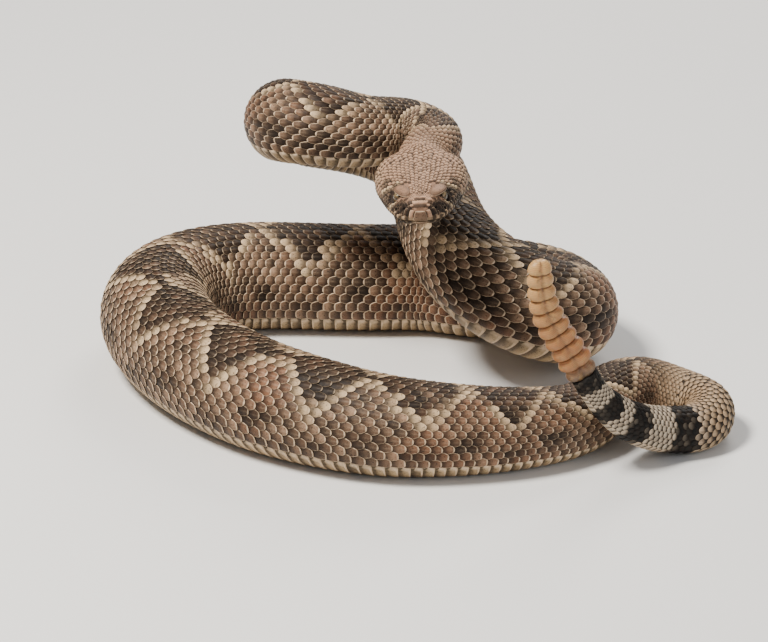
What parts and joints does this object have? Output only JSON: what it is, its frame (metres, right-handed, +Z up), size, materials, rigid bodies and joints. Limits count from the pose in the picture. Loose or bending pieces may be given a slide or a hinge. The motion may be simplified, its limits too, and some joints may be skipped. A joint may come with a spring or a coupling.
{
  "type": "western diamondback rattlesnake",
  "caption": "Still, life-size rattlesnake coiled on the floor, with its forebody raised in a loop, a broad triangular head and an upright rattle.",
  "frame": {"origin": "centre of the bounding box at floor level, under the coil", "axes": "+Z up from the floor the belly rests on; the head looks along -Y; the rattle is on the +X side"},
  "size_m": [0.2805, 0.2031, 0.1294],
  "materials": {
    "scaled_skin": "matte keeled scales",
    "head_skin": "satin small scales",
    "tail_skin": "black and ash-white rings",
    "rattle_horn": "dry satin horn",
    "eye": "wet gloss"
  },
  "bodies": {
    "root": {"head": "head_skin", "lower_jaw": "head_skin", "eye_left": "eye", "eye_right": "eye", "neck": "scaled_skin", "upper_loop_front": "scaled_skin", "upper_loop_back": "scaled_skin", "rise_top": "scaled_skin", "rise_middle": "scaled_skin", "rise_foot": "scaled_skin", "right_bend": "scaled_skin", "back_right": "scaled_skin", "back_left": "scaled_skin", "left_bend_back": "scaled_skin", "left_bend_front": "scaled_skin", "front_left": "scaled_skin", "front_middle": "scaled_skin", "front_right": "scaled_skin", "rear_body": "scaled_skin", "rump": "scaled_skin", "tail_bend": "tail_skin", "tail_middle": "tail_skin", "tail_end": "tail_skin", "rattle_01": "rattle_horn", "rattle_02": "rattle_horn", "rattle_03": "rattle_horn", "rattle_04": "rattle_horn", "rattle_05": "rattle_horn", "rattle_06": "rattle_horn", "rattle_07": "rattle_horn", "rattle_08": "rattle_horn", "rattle_09": "rattle_horn", "rattle_10": "rattle_horn"}
  },
  "joints": []
}
